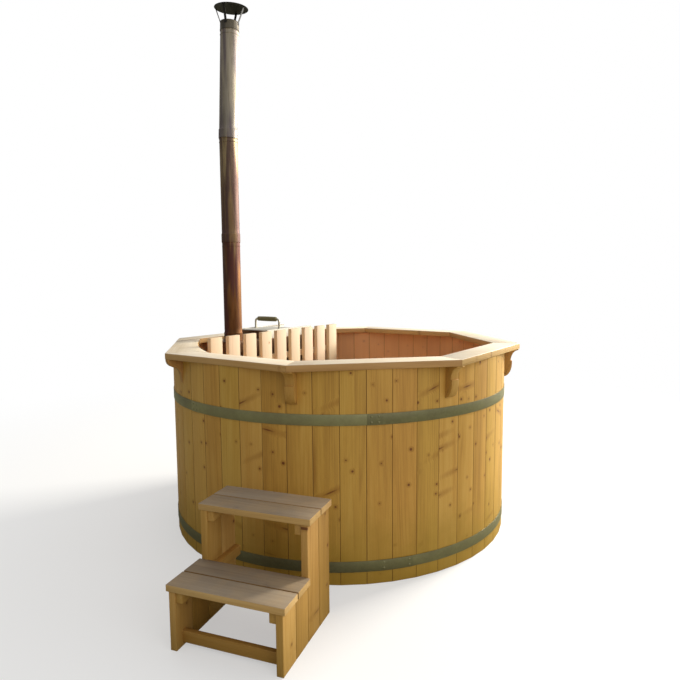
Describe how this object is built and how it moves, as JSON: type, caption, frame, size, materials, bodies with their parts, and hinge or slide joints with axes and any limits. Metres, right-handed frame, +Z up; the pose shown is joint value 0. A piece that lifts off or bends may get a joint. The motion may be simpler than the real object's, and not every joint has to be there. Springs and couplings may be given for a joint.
{
  "type": "wooden hot tub",
  "caption": "Coopered wooden hot tub with an eight-sided rim, an inside wood stove with a flue behind a slatted guard, a bench and free-standing steps.",
  "frame": {"origin": "on the tub's axis at the ground, on the underside of the middle floor bearer", "axes": "+Z up along the tub's axis and the flue; -Y towards the rim's front board; the stove stands towards -X+Y"},
  "size_m": [2.0712, 2.7164, 3.2454],
  "materials": {
    "stave_wood": "oiled softwood, planed",
    "rim_wood": "planed softwood",
    "corbel_wood": "sawn and sanded softwood",
    "floor_wood": "planed softwood",
    "guard_wood": "planed softwood",
    "bench_wood": "planed softwood",
    "step_wood": "planed softwood",
    "tread_wood": "weathered softwood",
    "hoop_steel": "galvanised band",
    "fastener_steel": "zinc plated",
    "stove_aluminium": "mill finish",
    "handle_steel": "bent rod",
    "grip_wood": "turned",
    "fire_iron": "cast",
    "flue_red": "heat-tinted stainless steel",
    "flue_bronze": "heat-tinted stainless steel",
    "flue_bright": "rolled stainless steel",
    "cap_steel": "sooted steel",
    "drain_brass": "turned",
    "rubber": "moulded"
  },
  "bodies": {
    "tub": {"staves": "stave_wood", "floor_boards": "floor_wood", "floor_bearers": "floor_wood", "upper_hoop": "hoop_steel", "lower_hoop": "hoop_steel", "hoop_rivets": "hoop_steel", "hoop_lugs": "hoop_steel", "hoop_draw_bolts": "fastener_steel", "rim_front_left_board": "rim_wood", "rim_front_board": "rim_wood", "rim_front_right_board": "rim_wood", "rim_right_board": "rim_wood", "rim_back_right_board": "rim_wood", "rim_back_board": "rim_wood", "rim_back_left_board": "rim_wood", "rim_corner_board": "rim_wood", "rim_screws": "fastener_steel", "corbels": "corbel_wood", "corbel_screws": "fastener_steel", "guard_slats": "guard_wood", "guard_top_rail": "guard_wood", "guard_bottom_rail": "guard_wood", "guard_posts": "guard_wood", "guard_screws": "fastener_steel", "stove_walls": "stove_aluminium", "stove_skids": "stove_aluminium", "stove_top_plate": "stove_aluminium", "hatch_frame": "stove_aluminium", "lid_guides": "stove_aluminium", "stove_baffle": "fire_iron", "fire_grate": "fire_iron", "grate_ledges": "fire_iron", "stove_brackets": "stove_aluminium", "bracket_screws": "fastener_steel", "flue_spigot": "flue_red", "lower_flue_pipe": "flue_red", "middle_flue_pipe": "flue_bronze", "top_flue_pipe": "flue_bright", "cap_collar": "flue_bright", "cap_straps": "cap_steel", "rain_cap": "cap_steel", "drain_body": "drain_brass", "drain_gasket": "rubber", "drain_nut": "drain_brass", "bench_boards": "bench_wood", "bench_bearers": "bench_wood", "bench_legs": "bench_wood", "bench_blocks": "bench_wood", "bench_screws": "fastener_steel", "step_side_boards": "step_wood", "lower_tread": "tread_wood", "upper_tread": "tread_wood", "step_cleats": "step_wood", "step_stretcher": "step_wood", "step_screws": "fastener_steel"},
    "lid": {"stove_lid": "stove_aluminium", "handle_rod": "handle_steel", "handle_grip": "grip_wood"},
    "plug": {"drain_plug": "rubber"}
  },
  "joints": [
    {"name": "lid_slide", "type": "slide", "parent": "tub", "child": "lid", "axis": [0.7071, 0.7071, 0], "range_m": [0, 0.19]},
    {"name": "plug_lift", "type": "slide", "parent": "tub", "child": "plug", "axis": [0, 0, 1], "range_m": [0, 0.06]}
  ]
}
